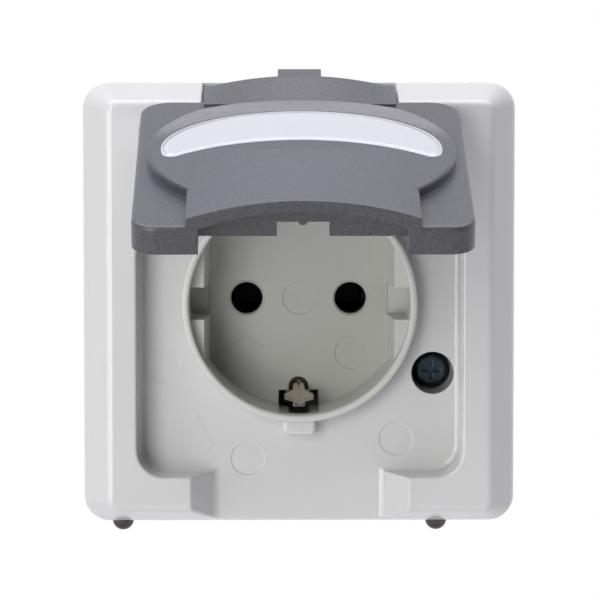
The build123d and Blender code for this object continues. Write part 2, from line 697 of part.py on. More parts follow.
def collar_seal():
    """Rubber ring round the collar, under the floor of the recess."""
    under = RECESS_FLOOR - WALL
    return prism(Circle(COLLAR_R + COLLAR_SEAL_W) - Circle(COLLAR_R), under - COLLAR_SEAL_T, under)


def base_outline():
    return Circle(BASE_R) & Rectangle(2 * BASE_R, 2 * BASE_HALF_H)


def line_room(x):
    mid = (LINE_ROOM_LOW + LINE_ROOM_HIGH) / 2
    return Pos(x, mid) * Rectangle(LINE_ROOM_W, LINE_ROOM_HIGH - LINE_ROOM_LOW)


def earth_room():
    mid = (EARTH_POST_ROOM_LOW + EARTH_POST_ROOM_HIGH) / 2
    post = Pos(0, mid) * Rectangle(2 * EARTH_POST_ROOM_HALF_W, EARTH_POST_ROOM_HIGH - EARTH_POST_ROOM_LOW)
    return post + Rectangle(2 * EARTH_ROOM_HALF_W, 2 * EARTH_ROOM_END)


def post_screw_out():
    return BASE_BACK + ROOM_GAP + POST_DEPTH / 2


def contact_base():
    base = prism(base_outline(), BASE_BACK, 0)
    base -= rod(0, 0, COLLAR_ROOM_R, COLLAR_SEAT, OVERRUN)
    base += prism(floor_outline(FACE_CLEAR), COLLAR_SEAT, FACE_BACK)
    for x in PIN_ENTRIES:
        base -= rod(x, 0, PIN_ENTRY_R, BASE_FLOOR_BACK, COLLAR_SEAT)
        base -= prism(line_room(x), BASE_BACK, BASE_FLOOR_BACK)
        base -= along_z(Pos(x, post_screw_out()) * Circle(DRIVER_HOLE_R), LINE_ROOM_HIGH - OVERRUN, BASE_R)
    base -= prism(earth_room(), BASE_BACK, BASE_FLOOR_BACK)
    base -= prism(earth_openings(0), BASE_FLOOR_BACK, COLLAR_SEAT)
    base -= earth_screw_hole(DRIVER_HOLE_R, EARTH_POST_ROOM_HALF_W - OVERRUN, BASE_R)
    for x, z in RIVETS:
        base -= rod(x, z, RIVET_R, -RIVET_DEPTH, 0)
    for x, z in REAR_SCREWS:
        base -= rod(x, z, REAR_SCREW_R, BASE_BACK, BASE_BACK + REAR_SCREW_DEPTH)
    return base


def earth_post_mid():
    return (EARTH_POST_ROOM_LOW + EARTH_POST_ROOM_HIGH) / 2


def earth_screw_hole(radius, x0, x1):
    rod_x = extrude(ZU * (Pos(earth_post_mid(), post_screw_out()) * Circle(radius)), amount=x1 - x0)
    return Pos(x0, 0, 0) * rod_x


def wire_holes():
    holes = Sketch()
    for x in PIN_ENTRIES:
        holes += Pos(x, post_wire_z()) * Circle(WIRE_HOLE_R)
    return holes + Pos(0, earth_post_mid()) * Circle(WIRE_HOLE_R)


def post_wire_z():
    return POST_LOW + WIRE_HOLE_R + CLIP_T


def base_rear_cover():
    back = BASE_BACK - REAR_COVER_T
    plate = prism(base_outline() - wire_holes(), back, BASE_BACK)
    plate = chamfer(circles_at(plate, back, WIRE_HOLE_R), WIRE_FUNNEL)
    for x, z in REAR_SCREWS:
        plate -= rod(x, z, REAR_SCREW_R, back, BASE_BACK)
    return plate


def rear_cover_screws():
    made = []
    back = BASE_BACK - REAR_COVER_T
    for x, z in REAR_SCREWS:
        shank = rod(x, z, REAR_SCREW_R, back, BASE_BACK + REAR_SCREW_DEPTH)
        head = rod(x, z, REAR_HEAD_R, back - REAR_HEAD_H, back)
        slot = Pos(x, z) * Rectangle(2 * REAR_HEAD_R, DRIVER_SLOT_W)
        head -= prism(slot, back - REAR_HEAD_H, back - REAR_HEAD_H / 2)
        made.append(shank + head)
    return made


def line_contact(x):
    """Two sprung blades of brass strip for one pin, joined at the side, with a pillar terminal above."""
    back = BASE_BACK + ROOM_GAP
    front = BASE_FLOOR_BACK - ROOM_GAP
    inner = CLIP_GAP / 2
    outer = inner + CLIP_T
    flare = front - CLIP_FLARE_L
    blade = shape_of(
        (inner, back),
        (outer, back),
        (outer, flare),
        (outer + CLIP_FLARE, front),
        (inner + CLIP_FLARE, front),
        (inner, flare),
    )
    strip = Pos(x, 0, 0) * across(blade, CLIP_W / 2)
    strip += mirror(strip, Plane.XY)
    side = x + math.copysign(CLIP_W / 2 - CLIP_T / 2, x)
    strip += block(side - CLIP_T / 2, side + CLIP_T / 2, -outer, outer, back, flare)
    strip += block(x - CLIP_W / 2, x + CLIP_W / 2, inner, POST_LOW, back, back + CLIP_T)
    post = block(x - POST_W / 2, x + POST_W / 2, POST_LOW, POST_HIGH, back, back + POST_DEPTH)
    post -= rod(x, post_wire_z(), WIRE_HOLE_R, back, back + POST_DEPTH)
    post -= along_z(Pos(x, post_screw_out()) * Circle(TERMINAL_SCREW_R), post_wire_z(), POST_HIGH)
    return strip + post


def terminal_screw():
    """Clamping screw standing on +Z, with the tip at the origin."""
    tip_to_head = POST_HIGH - post_wire_z() - WIRE_HOLE_R + DRIVER_SLOT_D
    screw = Cylinder(TERMINAL_SCREW_R, tip_to_head, align=(Align.CENTER, Align.CENTER, Align.MIN))
    head = Cylinder(TERMINAL_HEAD_R, TERMINAL_HEAD_H, align=(Align.CENTER, Align.CENTER, Align.MIN))
    slot = Box(2 * TERMINAL_HEAD_R, DRIVER_SLOT_W, 2 * DRIVER_SLOT_D)
    head -= Pos(0, 0, TERMINAL_HEAD_H) * slot
    return screw + Pos(0, 0, tip_to_head) * head


def terminal_screws():
    tip_z = post_wire_z() + WIRE_HOLE_R
    return [Pos(x, -post_screw_out(), tip_z) * terminal_screw() for x in PIN_ENTRIES]


def earth_strip():
    """Strip across the base, with a spring rising through the well floor at each end."""
    back = BASE_BACK + ROOM_GAP
    arm_in = EARTH_ARM_OFFSET
    arm_out = arm_in + EARTH_STRIP_T
    half_w = EARTH_STRIP_W / 2
    nose_in = EARTH_NOSE_OFFSET
    arm = shape_of((arm_in, back), (arm_out, back), (arm_out, COLLAR_SEAT), (arm_in, COLLAR_SEAT))
    lean = shape_of(
        (arm_in, COLLAR_SEAT),
        (arm_out, COLLAR_SEAT),
        (nose_in + EARTH_STRIP_T, WELL_FLOOR),
        (arm_out + EARTH_STRIP_T, EARTH_TIP_OUT),
        (arm_in + EARTH_STRIP_T, EARTH_TIP_OUT),
        (nose_in, WELL_FLOOR),
    )
    nose_half = EARTH_NOSE_W / 2
    nose = across(lean, nose_half) & prism(earth_nose_plan(nose_half), COLLAR_SEAT, EARTH_TIP_OUT)
    wings = across(lean, EARTH_WING_W / 2) & along_z(earth_wing_plan(nose_half), 0, COLLAR_R)
    crease = shape_of(
        (nose_in, WELL_FLOOR),
        (nose_in + EARTH_CREASE_D, WELL_FLOOR),
        (arm_in + EARTH_STRIP_T + EARTH_CREASE_D, EARTH_TIP_OUT),
        (arm_in + EARTH_STRIP_T, EARTH_TIP_OUT),
    )
    spring = across(arm, half_w) + nose + wings - across(crease, EARTH_CREASE_W / 2)
    strip = block(-half_w, half_w, -arm_out, arm_out, back, back + EARTH_STRIP_T)
    strip += spring + mirror(spring, Plane.XY)
    post = block(
        -POST_W / 2,
        POST_W / 2,
        EARTH_POST_ROOM_LOW + ROOM_GAP,
        EARTH_POST_ROOM_HIGH - ROOM_GAP,
        back,
        back + POST_DEPTH,
    )
    post -= rod(0, earth_post_mid(), WIRE_HOLE_R, back, back + POST_DEPTH)
    post -= earth_screw_hole(TERMINAL_SCREW_R, 0, POST_W)
    return strip + post - rod(0, earth_post_mid(), WIRE_HOLE_R, back, back + POST_DEPTH)


def earth_nose_plan(half_w):
    """(X, Z) outline that rounds the spring's nose."""
    tip = EARTH_NOSE_OFFSET + half_w
    length = COLLAR_R - tip
    return Pos(0, tip) * Circle(half_w) + Pos(0, tip + length / 2) * Rectangle(2 * half_w, length)


def earth_wing_plan(half_w):
    """(X, out) outline of the two shoulders on the spring."""
    wide = EARTH_WING_W / 2
    blunt = EARTH_WING_MID + EARTH_WING_BLUNT
    right = [(half_w, EARTH_WING_BACK), (wide, EARTH_WING_MID), (wide, blunt), (half_w, EARTH_WING_FRONT)]
    left = [(-x, out) for x, out in reversed(right)]
    return shape_of(*right, *left)


def earth_screw():
    tip_x = WIRE_HOLE_R
    return Pos(tip_x, -post_screw_out(), earth_post_mid()) * (Rot(0, 90, 0) * terminal_screw())


def support_ring():
    square = Rectangle(2 * RING_HALF_W, 2 * RING_HALF_H)
    square = chamfer(square.vertices(), RING_CORNER_CUT)
    square -= Circle(COLLAR_ROOM_R)
    for side in (-1, 1):
        square -= Pos(side * BOX_SCREW_PITCH / 2, 0) * SlotOverall(BOX_SLOT_L, 2 * BOX_SLOT_R)
    for x, z in RIVETS:
        square -= Pos(x, z) * Circle(RIVET_R)
    for x, z in COVER_SCREWS:
        square -= Pos(x, z) * Circle(COVER_SCREW_R)
    return prism(square, 0, RING_T)


def rivets():
    made = []
    for x, z in RIVETS:
        shank = rod(x, z, RIVET_R, -RIVET_DEPTH, RING_T)
        head = rod(x, z, RIVET_HEAD_R, RING_T, RING_T + RIVET_HEAD_T)
        made.append(shank + head)
    return made


def wall_gasket():
    inner = frame_outline(PLATE_INSET + GASKET_W, 0)
    return prism(frame_outline(PLATE_INSET, 0) - inner, 0, GASKET_T)


def seal_plate():
    """Plate behind the cover that carries the seal and takes the two lower screws."""
    sheet = frame_outline(PLATE_INSET, 0) - Circle(PLATE_HOLE_R)
    sheet -= Rectangle(2 * PLATE_SLOT_HALF_W, 2 * PLATE_SLOT_HALF_H)
    for x, z in COVER_SCREWS:
        sheet -= Pos(x, z) * Circle(COVER_BORE_R + COVER_BOSS_WALL + COVER_GAP)
    plate = prism(sheet, PLATE_BACK, PLATE_OUT)
    lip = frame_outline(PLATE_INSET, 0) - frame_outline(PLATE_INSET + PLATE_LIP_T, 0)
    lip -= pocket_shadow()
    plate += prism(lip, PLATE_OUT, PLATE_LIP_OUT)
    low = FRAME_BOTTOM + PLATE_INSET
    inside = frame_form(PLATE_INSET, PLATE_BACK, FRAME_OUT - PLATE_INSET)
    for x in LOCK_SCREW_X:
        boss_plan = Pos(x, low + LOCK_BOSS_LENGTH / 2) * Rectangle(LOCK_BOSS_W, LOCK_BOSS_LENGTH)
        plate += prism(boss_plan, PLATE_BACK, LOCK_BOSS_OUT) & inside
        plate -= lock_rod(x, LOCK_SCREW_R, low - OVERRUN, low + LOCK_BOSS_LENGTH)
    return plate


def pocket_shadow():
    """Plan of the hinge pocket's wall, which the plate's lip stays clear of."""
    half = POCKET_HALF_W + WALL + EAR_W
    return Pos(0, FRAME_TOP) * Rectangle(2 * half, 2 * (FRAME_TOP - RECESS_TOP + WALL))


def cover_screws():
    made = []
    seat = COVER_BOSS_FLOOR + WASHER_T
    top = seat + COVER_HEAD_H
    for x, z in COVER_SCREWS:
        screw = rod(x, z, COVER_SCREW_R, COVER_SCREW_TIP, seat)
        head = rod(x, z, COVER_HEAD_R, seat, top)
        head = fillet(head.faces().sort_by(Axis.Y)[0].edges(), COVER_HEAD_R - CROSS_L / 2 - CROSS_W / 2)
        cross = Rectangle(CROSS_L, CROSS_W) + Rectangle(CROSS_W, CROSS_L)
        head -= prism(Pos(x, z) * cross, top - CROSS_D, top)
        made.append(screw + head)
    return made


def screw_washers():
    made = []
    for x, z in COVER_SCREWS:
        flat = Pos(x, z) * (Circle(WASHER_R) - Circle(COVER_SCREW_R))
        made.append(prism(flat, COVER_BOSS_FLOOR, COVER_BOSS_FLOOR + WASHER_T))
    return made


def locking_screws():
    """Domed screws that come up through the lower edge."""
    made = []
    tip = FRAME_BOTTOM + PLATE_INSET + LOCK_BOSS_LENGTH
    for x in LOCK_SCREW_X:
        shank = lock_rod(x, LOCK_SCREW_R, FRAME_BOTTOM, tip)
        dome_r = (LOCK_HEAD_R**2 + LOCK_HEAD_H**2) / (2 * LOCK_HEAD_H)
        ball = Pos(x, -LOCK_SCREW_OUT, FRAME_BOTTOM - LOCK_HEAD_H + dome_r) * Sphere(dome_r)
        head = ball & lock_rod(x, LOCK_HEAD_R, FRAME_BOTTOM - LOCK_HEAD_H, FRAME_BOTTOM)
        made.append(shank + head)
    return made


def hinge_pin():
    return hinge_rod(PIN_R, PIN_HALF_LENGTH)


NODES = {
    "cover_frame": cover_frame(),
    "socket_collar": socket_collar(),
    "contact_face": contact_face(),
    "contact_base": contact_base(),
    "base_rear_cover": base_rear_cover(),
    "line_contact_left": line_contact(PIN_ENTRIES[0]),
    "line_contact_right": line_contact(PIN_ENTRIES[1]),
    "terminal_screws": Compound(children=terminal_screws()),
    "earth_strip": earth_strip(),
    "earth_screw": earth_screw(),
    "rear_cover_screws": Compound(children=rear_cover_screws()),
    "collar_seal": collar_seal(),
    "support_ring": support_ring(),
    "ring_rivets": Compound(children=rivets()),
    "wall_gasket": wall_gasket(),
    "seal_plate": seal_plate(),
    "cover_screws": Compound(children=cover_screws()),
    "screw_washers": Compound(children=screw_washers()),
    "locking_screws": Compound(children=locking_screws()),
    "hinge_pin": hinge_pin(),
    "detent_spring": detent_spring(),
    "lid_shell": opened(lid_closed()),
    "label_window": opened(label_window()),
    "label_card": opened(label_card()),
    "lid_seal": opened(lid_seal()),
}

os.makedirs("parts", exist_ok=True)
for name, shape in NODES.items():
    export_step(shape, f"parts/{name}.step")
    print(name, round(shape.volume, 1), "mm3")
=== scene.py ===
# %% [markdown]
# # A splash-proof socket outlet with its lid standing open
# This lesson dresses a finished CAD model in Blender. The solids arrive at their real size and place, so
# nothing is moved here: each piece only gets the finish that the real one has, and then the object is lit
# and looked at as a product photographer would.

# %% Load the CAD frame
import math
import bmesh
import bpy
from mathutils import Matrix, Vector
from mathutils.bvhtree import BVHTree


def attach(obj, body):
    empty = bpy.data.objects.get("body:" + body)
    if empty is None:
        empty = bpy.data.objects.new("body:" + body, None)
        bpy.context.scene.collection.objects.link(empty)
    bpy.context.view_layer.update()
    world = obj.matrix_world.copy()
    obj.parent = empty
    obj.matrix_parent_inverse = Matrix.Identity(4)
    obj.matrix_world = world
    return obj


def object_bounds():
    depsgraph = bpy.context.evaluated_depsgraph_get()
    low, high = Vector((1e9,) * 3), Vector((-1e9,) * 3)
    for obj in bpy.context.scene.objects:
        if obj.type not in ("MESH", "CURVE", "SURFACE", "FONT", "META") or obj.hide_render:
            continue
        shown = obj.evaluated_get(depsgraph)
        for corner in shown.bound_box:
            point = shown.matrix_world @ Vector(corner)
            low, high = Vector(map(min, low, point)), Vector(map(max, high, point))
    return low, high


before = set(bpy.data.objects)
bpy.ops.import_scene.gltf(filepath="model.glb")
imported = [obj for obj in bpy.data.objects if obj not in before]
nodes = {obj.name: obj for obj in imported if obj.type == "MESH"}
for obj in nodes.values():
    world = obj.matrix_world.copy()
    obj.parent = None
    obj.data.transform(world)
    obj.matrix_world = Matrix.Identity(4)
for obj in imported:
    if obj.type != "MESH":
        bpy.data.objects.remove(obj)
cad_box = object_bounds()
MM = 0.001

# %% [markdown]
# ## Tools for materials
# Colours are written as sRGB hex values, as a paint chart gives them, but Blender's sockets want linear
# light, so one function converts them. Another adds one shader node, sets its values and joins its inputs,
# which keeps each material down to a short list that reads from the pattern to the shader. Patterns are
# placed by the object's own coordinates, in metres, so nothing has to be unwrapped.

# %% Colour and node helpers
def linear(hex_colour):
    """An sRGB hex colour as linear RGBA."""
    channels = [int(hex_colour[i:i + 2], 16) / 255 for i in (1, 3, 5)]
    light = [c / 12.92 if c <= 0.04045 else ((c + 0.055) / 1.055) ** 2.4 for c in channels]
    return (*light, 1.0)


def add_node(tree, kind, values=None, links=None, stops=None, **settings):
    """One node with its settings, its sockets' values, the outputs that feed it and a ramp's colour stops."""
    node = tree.nodes.new(kind)
    for name, value in settings.items():
        setattr(node, name, value)
    for socket, value in (values or {}).items():
        node.inputs[socket].default_value = value
    for socket, output in (links or {}).items():
        tree.links.new(output, node.inputs[socket])
    if stops:
        for stop, (position, colour) in zip(node.color_ramp.elements, stops.items()):
            stop.position = position
            stop.color = linear(colour)
    return node


def start_material(name, values):
    """A material whose shader has these values, with its tree, its shader and the place on the object."""
    material = bpy.data.materials.new(name)
    material.use_nodes = True
    tree = material.node_tree
    shader = tree.nodes["Principled BSDF"]
    for socket, value in values.items():
        shader.inputs[socket].default_value = value
    place = add_node(tree, "ShaderNodeTexCoord").outputs["Object"]
    return material, tree, shader, place


def per_mm(size):
    """Texture scale whose pattern repeats about every so many millimetres."""
    return 1 / (size * MM)


print("helpers ready")

# %% [markdown]
# ## What all mouldings share
# A moulded surface copies its tool: a fine grain, and edges that are never quite sharp. The grain is a noise
# that drives a bump. The edges could be rounded in the mesh, but the solids stay as they are, so a Bevel node
# bends only the light along each edge.

# %% Moulded skin
EDGE_SAMPLES = 6


def moulded_skin(tree, shader, place, grain_mm, depth_mm, edge_mm, detail=2.0):
    """The grain of a mould's surface over softly broken edges; returns the grain's pattern."""
    grain = add_node(tree, "ShaderNodeTexNoise", {"Scale": per_mm(grain_mm), "Detail": detail},
                     {"Vector": place})
    edge = add_node(tree, "ShaderNodeBevel", {"Radius": edge_mm * MM}, samples=EDGE_SAMPLES)
    bump = add_node(tree, "ShaderNodeBump", {"Strength": 1.0, "Distance": depth_mm * MM},
                    {"Height": grain.outputs["Fac"], "Normal": edge.outputs["Normal"]})
    tree.links.new(bump.outputs["Normal"], shader.inputs["Normal"])
    return grain.outputs["Fac"]


print("moulded skin ready")

# %% [markdown]
# ## The cover: ABS, moulded in a polished tool
# The light grey frame comes out of the mould with a gloss. Seen close, a polished moulding isn't a mirror:
# its surface has a faint orange peel more than a millimetre across, and the gloss wanders a little where the
# plastic flowed. Both are slow noises, one in the bump and one in the tone and the roughness.

# %% Cover plastic
def gloss_light_grey_abs():
    # A clean grey with a soft sheen, brighter on every rounded edge
    material, tree, shader, place = start_material("abs_gloss_moulded_light_grey", {"IOR": 1.53})
    moulded_skin(tree, shader, place, grain_mm=1.6, depth_mm=0.001, edge_mm=0.35)
    flow = add_node(tree, "ShaderNodeTexNoise", {"Scale": per_mm(9.0), "Detail": 3.0}, {"Vector": place})
    tone = add_node(tree, "ShaderNodeValToRGB", links={"Fac": flow.outputs["Fac"]},
                    stops={0.0: "#CCCCCB", 1.0: "#D0D0CF"})
    gloss = add_node(tree, "ShaderNodeMapRange", {"To Min": 0.11, "To Max": 0.17},
                     {"Value": flow.outputs["Fac"]})
    tree.links.new(tone.outputs["Color"], shader.inputs["Base Color"])
    tree.links.new(gloss.outputs["Result"], shader.inputs["Roughness"])
    return material


cover_plastic = gloss_light_grey_abs()
print("made", cover_plastic.name)

# %% [markdown]
# ## The insert: polycarbonate with a satin face
# The collar and the well's floor are mouldings of the same grey family, in a stiffer plastic whose tool was
# only blasted, so highlights spread wide. A fine grain of a fifth of a millimetre is enough to break them.
# The collar is a shade lighter than the floor, so the function takes the tone.

# %% Insert plastic
def satin_polycarbonate(name, low, high):
    """A blasted moulding: a wide soft sheen over one grey."""
    material, tree, shader, place = start_material(name, {"Roughness": 0.36, "IOR": 1.58})
    moulded_skin(tree, shader, place, grain_mm=0.2, depth_mm=0.002, edge_mm=0.2)
    flow = add_node(tree, "ShaderNodeTexNoise", {"Scale": per_mm(7.0), "Detail": 3.0}, {"Vector": place})
    tone = add_node(tree, "ShaderNodeValToRGB", links={"Fac": flow.outputs["Fac"]},
                    stops={0.0: low, 1.0: high})
    tree.links.new(tone.outputs["Color"], shader.inputs["Base Color"])
    return material


# The floor: slightly warmer and duller than the cover
floor_plastic = satin_polycarbonate("polycarbonate_satin_moulded_warm_grey", "#B9BAB3", "#BEBFB8")
# The collar: a shade lighter, so its ring stands out from the floor
collar_plastic = satin_polycarbonate("polycarbonate_satin_moulded_light_grey", "#C6C6C1", "#CACAC5")
print("made", floor_plastic.name, collar_plastic.name)

# %% [markdown]
# ## The lid: slate grey plastic with a spark-eroded grain
# The lid feels dry: its tool was spark-eroded, which leaves tiny craters. They scatter light, so the lid
# looks matte and a little speckled. One fine noise drives the craters' bump and the colour. Real craters are
# about a tenth of a millimetre wide; here they are drawn three times coarser, so that the picture shows them.
#
# The disc's slope behind the window catches the light from above and looks paler than the rest. The CAD's
# slope is flatter than the real one, so lamps alone can't show it: a paler tone of the same grain is mixed in
# there as a painted highlight, within soft bounds that are measured on the lid and move with it.

# %% Bounds of the slope's painted highlight
# On the open lid: the disc's middle, the lid's turn about X, the disc's radius, the window's half axes
DISC_MIDDLE = Vector((0, -46.9, 28.8)) * MM
LID_TURN = math.radians(-70.5)
DISC_RADIUS, WINDOW_OVAL = 26.0, (23.6, 17.6)
# An axis that is measured in lengths as long as this no longer counts
UNCOUNTED = 1e3


def lid_reach(tree, place, across, along, start, end):
    """A soft step from 0 to 1 with the distance from the disc's middle, in shares of an oval on the lid.

    Without a size across, only the way along the lid counts, towards the hinge.
    """
    scale = (across * MM if across else UNCOUNTED, UNCOUNTED, along * MM)
    flat = add_node(tree, "ShaderNodeMapping", vector_type="TEXTURE", links={"Vector": place},
                    values={"Location": DISC_MIDDLE, "Rotation": (LID_TURN, 0, 0), "Scale": scale})
    if across:
        share = add_node(tree, "ShaderNodeVectorMath", links={0: flat.outputs["Vector"]},
                         operation="LENGTH").outputs["Value"]
    else:
        share = add_node(tree, "ShaderNodeSeparateXYZ", links={0: flat.outputs["Vector"]}).outputs["Z"]
    step = add_node(tree, "ShaderNodeMapRange", {"From Min": start, "From Max": end}, {"Value": share},
                    interpolation_type="SMOOTHSTEP")
    return step.outputs["Result"]


print("disc radius", DISC_RADIUS, "mm, window half axes", WINDOW_OVAL, "mm")

# %% Lid plastic
# The Mix node has a pair of inputs for each kind of value; these are the places of its colours
COLOUR_A, COLOUR_B, COLOUR_MIXED = 6, 7, 2


def grained_slate_plastic():
    # Matte slate with a fine salt-and-pepper speckle, a dusty violet bloom at flat angles and a painted
    # highlight on the disc's rear slope
    material, tree, shader, place = start_material("abs_spark_eroded_slate_grey", {
        "Roughness": 0.38, "IOR": 1.6,
        "Sheen Weight": 0.2, "Sheen Roughness": 0.4, "Sheen Tint": linear("#B4B4FF")})
    grain = moulded_skin(tree, shader, place, grain_mm=0.32, depth_mm=0.02, edge_mm=0.3, detail=3.0)
    slate = add_node(tree, "ShaderNodeValToRGB", links={"Fac": grain}, stops={0.3: "#28282A", 0.7: "#4D4D51"})
    # Painted highlight: a paler copy of the grain, standing in for the light that the rear slope catches from
    # above
    pale = add_node(tree, "ShaderNodeValToRGB", links={"Fac": grain}, stops={0.3: "#5A5858", 0.7: "#8A8888"})
    # Where the painted highlight lies: inside the disc, outside the window's oval and towards the hinge; the
    # least of the three steps counts
    steps = [lid_reach(tree, place, DISC_RADIUS, DISC_RADIUS, start=1.0, end=0.985),
             lid_reach(tree, place, *WINDOW_OVAL, start=1.02, end=1.06),
             lid_reach(tree, place, None, DISC_RADIUS, start=0.15, end=0.45)]
    least = steps[0]
    for step in steps[1:]:
        least = add_node(tree, "ShaderNodeMath", links={0: least, 1: step}, operation="MINIMUM").outputs[0]
    tone = add_node(tree, "ShaderNodeMix", data_type="RGBA", links={
        "Factor": least, COLOUR_A: slate.outputs["Color"], COLOUR_B: pale.outputs["Color"]})
    tree.links.new(tone.outputs[COLOUR_MIXED], shader.inputs["Base Color"])
    return material


lid_plastic = grained_slate_plastic()
print("made", lid_plastic.name)

# %% [markdown]
# ## The label window and its card
# A crescent of polycarbonate is pressed into the lid over a slip of white card. The plastic is a little
# milky, so part of the light is scattered and part passes: the card shows through, and the bevel round the
# window shows soft white and grey lines. A fully clear plastic would show the dark pocket below instead.

# %% Milky window and card
def milky_polycarbonate():
    # Polished and half clear, with a trace of moulding waviness
    material, tree, shader, place = start_material("polycarbonate_milky_polished", {
        "Base Color": linear("#EBEBEF"), "Transmission Weight": 0.4, "Roughness": 0.03, "IOR": 1.585})
    wave = add_node(tree, "ShaderNodeTexNoise", {"Scale": per_mm(4.0)}, {"Vector": place})
    bump = add_node(tree, "ShaderNodeBump", {"Distance": 0.002 * MM}, {"Height": wave.outputs["Fac"]})
    tree.links.new(bump.outputs["Normal"], shader.inputs["Normal"])
    return material


def white_card():
    # Uncoated white card with a hint of fibre
    material, tree, shader, place = start_material("card_uncoated_white", {"Roughness": 0.8})
    fibre = add_node(tree, "ShaderNodeTexNoise", {"Scale": per_mm(0.4), "Detail": 4.0}, {"Vector": place})
    tone = add_node(tree, "ShaderNodeValToRGB", links={"Fac": fibre.outputs["Fac"]},
                    stops={0.0: "#EAEAEE", 1.0: "#F0F0F3"})
    tree.links.new(tone.outputs["Color"], shader.inputs["Base Color"])
    return material


window_plastic = milky_polycarbonate()
card_paper = white_card()
# The window's edge: milky, with a soft shine, and pale partly as a painted highlight of the bevel
rim_highlight_plastic = satin_polycarbonate("polycarbonate_satin_pale_edge_painted_highlight", "#C3C4C9", "#CBCCD1")
print("made", window_plastic.name, card_paper.name, rim_highlight_plastic.name)

# %% [markdown]
# ## The works behind the face
# Behind the cover sit a black contact base, a grey sealing plate and black rubber seals. They show through
# the pin holes and from behind, so they are finished too: moulded plastics differ from each other mainly in
# tone and roughness, and one function with those values makes them all.

# %% Hidden plastics and rubber
def moulded_plastic(name, low, high, roughness, grain_mm, depth_mm, ior):
    """A plain moulded plastic or rubber with its own tone, gloss and grain."""
    material, tree, shader, place = start_material(name, {"Roughness": roughness, "IOR": ior})
    grain = moulded_skin(tree, shader, place, grain_mm, depth_mm, edge_mm=0.2)
    tone = add_node(tree, "ShaderNodeValToRGB", links={"Fac": grain}, stops={0.0: low, 1.0: high})
    tree.links.new(tone.outputs["Color"], shader.inputs["Base Color"])
    return material


# Thermoset: near black with a dull sheen
base_plastic = moulded_plastic("thermoset_moulded_black", "#111112", "#1A1A1B",
                               roughness=0.45, grain_mm=0.5, depth_mm=0.004, ior=1.6)
# Polyamide: mid grey, satin
plate_plastic = moulded_plastic("polyamide_moulded_grey", "#868889", "#8F9192",
                                roughness=0.5, grain_mm=0.4, depth_mm=0.006, ior=1.53)
# EPDM rubber: black and dull, with a bloom on its skin
seal_rubber = moulded_plastic("epdm_rubber_moulded_black", "#19191A", "#29292A",
                              roughness=0.8, grain_mm=0.6, depth_mm=0.01, ior=1.5)
print("made", base_plastic.name, plate_plastic.name, seal_rubber.name)

# %% [markdown]
# ## The metals
# Rolled or drawn metal keeps fine streaks from the tool it passed through. Anisotropic reflection could hint
# at them, but it needs tangents on every face. Stretching a noise along one axis draws the streaks
# themselves; they drive the roughness more than the colour.

# %% Metals
ALONG_X, ALONG_Z = 0, 2
STREAK_STRETCH, ROUGHNESS_SWING, METAL_EDGE_MM = 0.06, 0.08, 0.15


def streaked_metal(name, low, high, roughness, streak_mm, along, depth_mm=0.004):
    """A rolled, drawn or plated metal with streaks along one axis."""
    material, tree, shader, place = start_material(name, {"Metallic": 1.0})
    stretch = [1.0, 1.0, 1.0]
    stretch[along] = STREAK_STRETCH
    run = add_node(tree, "ShaderNodeMapping", {"Scale": stretch}, {"Vector": place})
    streak = add_node(tree, "ShaderNodeTexNoise", {"Scale": per_mm(streak_mm), "Detail": 4.0},
                      {"Vector": run.outputs["Vector"]})
    edge = add_node(tree, "ShaderNodeBevel", {"Radius": METAL_EDGE_MM * MM}, samples=EDGE_SAMPLES)
    bump = add_node(tree, "ShaderNodeBump", {"Distance": depth_mm * MM},
                    {"Height": streak.outputs["Fac"], "Normal": edge.outputs["Normal"]})
    tone = add_node(tree, "ShaderNodeValToRGB", links={"Fac": streak.outputs["Fac"]},
                    stops={0.0: low, 1.0: high})
    dull = add_node(tree, "ShaderNodeMapRange", links={"Value": streak.outputs["Fac"]}, values={
        "To Min": roughness - ROUGHNESS_SWING, "To Max": roughness + ROUGHNESS_SWING})
    tree.links.new(tone.outputs["Color"], shader.inputs["Base Color"])
    tree.links.new(dull.outputs["Result"], shader.inputs["Roughness"])
    tree.links.new(bump.outputs["Normal"], shader.inputs["Normal"])
    return material


# Zinc-plated sheet: pale and cloudy
zinc_steel = streaked_metal("steel_sheet_zinc_plated", "#B4B8BB", "#CDD1D3",
                            roughness=0.34, streak_mm=0.8, along=ALONG_X)
# Blue-black passivated screw: a dark head with a cold tint
blued_steel = streaked_metal("steel_screw_blue_black_passivated", "#334145", "#53656A",
                             roughness=0.3, streak_mm=0.5, along=ALONG_Z)
# Oiled black oxide: dark heads with a small bright glint
oxide_steel = streaked_metal("steel_screw_oiled_black_oxide", "#403B39", "#686260",
                             roughness=0.24, streak_mm=0.5, along=ALONG_X, depth_mm=0.001)
# Nickel-plated spring strip: warm grey, polished along its nose
nickel_strip = streaked_metal("bronze_strip_nickel_plated", "#C4BAAE", "#DED4C8",
                              roughness=0.17, streak_mm=0.3, along=ALONG_Z, depth_mm=0.0005)
# Brass painted nearly black: painted shade for the dark pin holes, so the contacts hardly show in them
brass_painted_dark = streaked_metal("brass_strip_painted_shade", "#1B160E", "#2E2618",
                             roughness=0.5, streak_mm=0.3, along=ALONG_Z)
print("made five metals")

# %% [markdown]
# ## Dress the CAD nodes
# A node is one named piece of the CAD model. Each keeps its own solid and only changes its material slot, so
# a table of finishes with the pieces that have them is enough.

